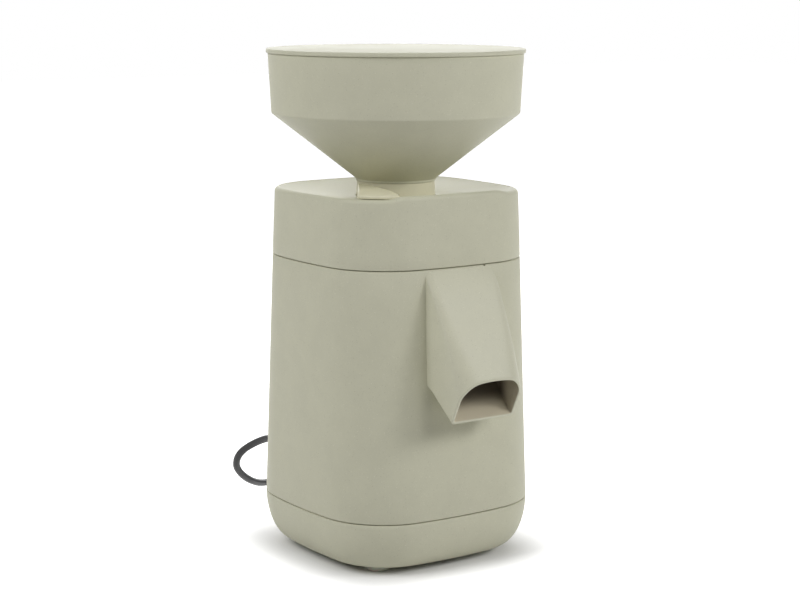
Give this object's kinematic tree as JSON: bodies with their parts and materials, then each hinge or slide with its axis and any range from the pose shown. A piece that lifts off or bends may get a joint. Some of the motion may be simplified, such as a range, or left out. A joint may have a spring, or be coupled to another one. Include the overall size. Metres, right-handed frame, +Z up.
{
  "type": "electric grain mill",
  "caption": "Stone grain mill with a rounded square housing, a slanted flour spout, a round lidded hopper, a thumb lever for fineness and a coiled mains cord.",
  "frame": {"origin": "on the mill's upright axis, in the plane that the feet stand on", "axes": "+Z up along the motor shaft; the flour spout faces -Y; +X is to the right of someone who looks at the front"},
  "size_m": [0.2053, 0.3286, 0.355],
  "materials": {
    "fibre_plastic": "matt, pressed natural-fibre plastic with fine flecks",
    "foot_rubber": "matt, whitish translucent",
    "black_rubber": "matt",
    "cord_black": "satin",
    "steel": "turned",
    "nickel": "plated",
    "cast_alloy": "as cast",
    "copper": "lacquered copper wire",
    "millstone": "sintered corundum ceramic, rough",
    "black_plastic": "fine texture",
    "grey_plastic": "plain",
    "white_plastic": "plain"
  },
  "bodies": {
    "housing": {"rubber_feet": "foot_rubber", "base_pan": "fibre_plastic", "base_screws": "steel", "main_casing": "fibre_plastic", "head_casing": "fibre_plastic", "head_screws": "steel", "outlet_spout": "fibre_plastic", "motor_plate": "steel", "motor_isolators": "black_rubber", "lower_shield": "cast_alloy", "upper_shield": "cast_alloy", "stator_core": "steel", "windings": "copper", "motor_bolts": "steel", "bearing_outer_rings": "steel", "run_capacitor": "grey_plastic", "terminal_block": "white_plastic", "thermal_cutout": "black_plastic", "milling_chamber": "cast_alloy", "shaft_seal": "black_rubber", "chamber_cover": "cast_alloy", "cover_screws": "steel", "guide_pins": "steel", "stone_springs": "steel", "power_switch": "black_plastic", "cord_gland": "black_rubber", "power_cord": "cord_black", "cord_coil": "cord_black", "mains_plug": "black_plastic", "plug_pins": "nickel"},
    "rotor": {"motor_shaft": "steel", "bearing_inner_rings": "steel", "bearing_balls": "steel", "rotor_core": "steel", "cooling_fan": "black_plastic", "stone_carrier": "cast_alloy", "lower_stone": "millstone", "stone_nut": "steel"},
    "stone_slide": {"stone_holder": "cast_alloy", "upper_stone": "millstone"},
    "adjuster": {"grinding_ring": "fibre_plastic", "thumb_lever": "fibre_plastic"},
    "hopper": {"grain_hopper": "fibre_plastic"},
    "lid": {"hopper_lid": "fibre_plastic"},
    "rocker": {"switch_rocker": "black_plastic"}
  },
  "joints": [
    {"name": "motor_spin", "type": "hinge", "parent": "housing", "child": "rotor", "pos_m": [0, 0, 0.12], "axis": [0, 0, 1], "continuous": true},
    {"name": "grind_adjust", "type": "hinge", "parent": "housing", "child": "adjuster", "pos_m": [0, 0, 0.25], "axis": [0, 0, 1], "range_deg": [-90, 0]},
    {"name": "stone_lift", "type": "slide", "parent": "housing", "child": "stone_slide", "axis": [0, 0, 1], "range_m": [0, 0.002], "deforming": ["stone_springs"]},
    {"name": "hopper_lift", "type": "slide", "parent": "adjuster", "child": "hopper", "axis": [0, 0, 1], "range_m": [0, 0.03]},
    {"name": "lid_lift", "type": "slide", "parent": "hopper", "child": "lid", "axis": [0, 0, 1], "range_m": [0, 0.04]},
    {"name": "power_rock", "type": "hinge", "parent": "housing", "child": "rocker", "pos_m": [0.028, 0.07688, 0.082], "axis": [1, 0, 0], "range_deg": [-18, 0]}
  ],
  "couplings": [
    {"joint": "stone_lift", "follows": "grind_adjust", "m_per_rad": -0.001273}
  ]
}
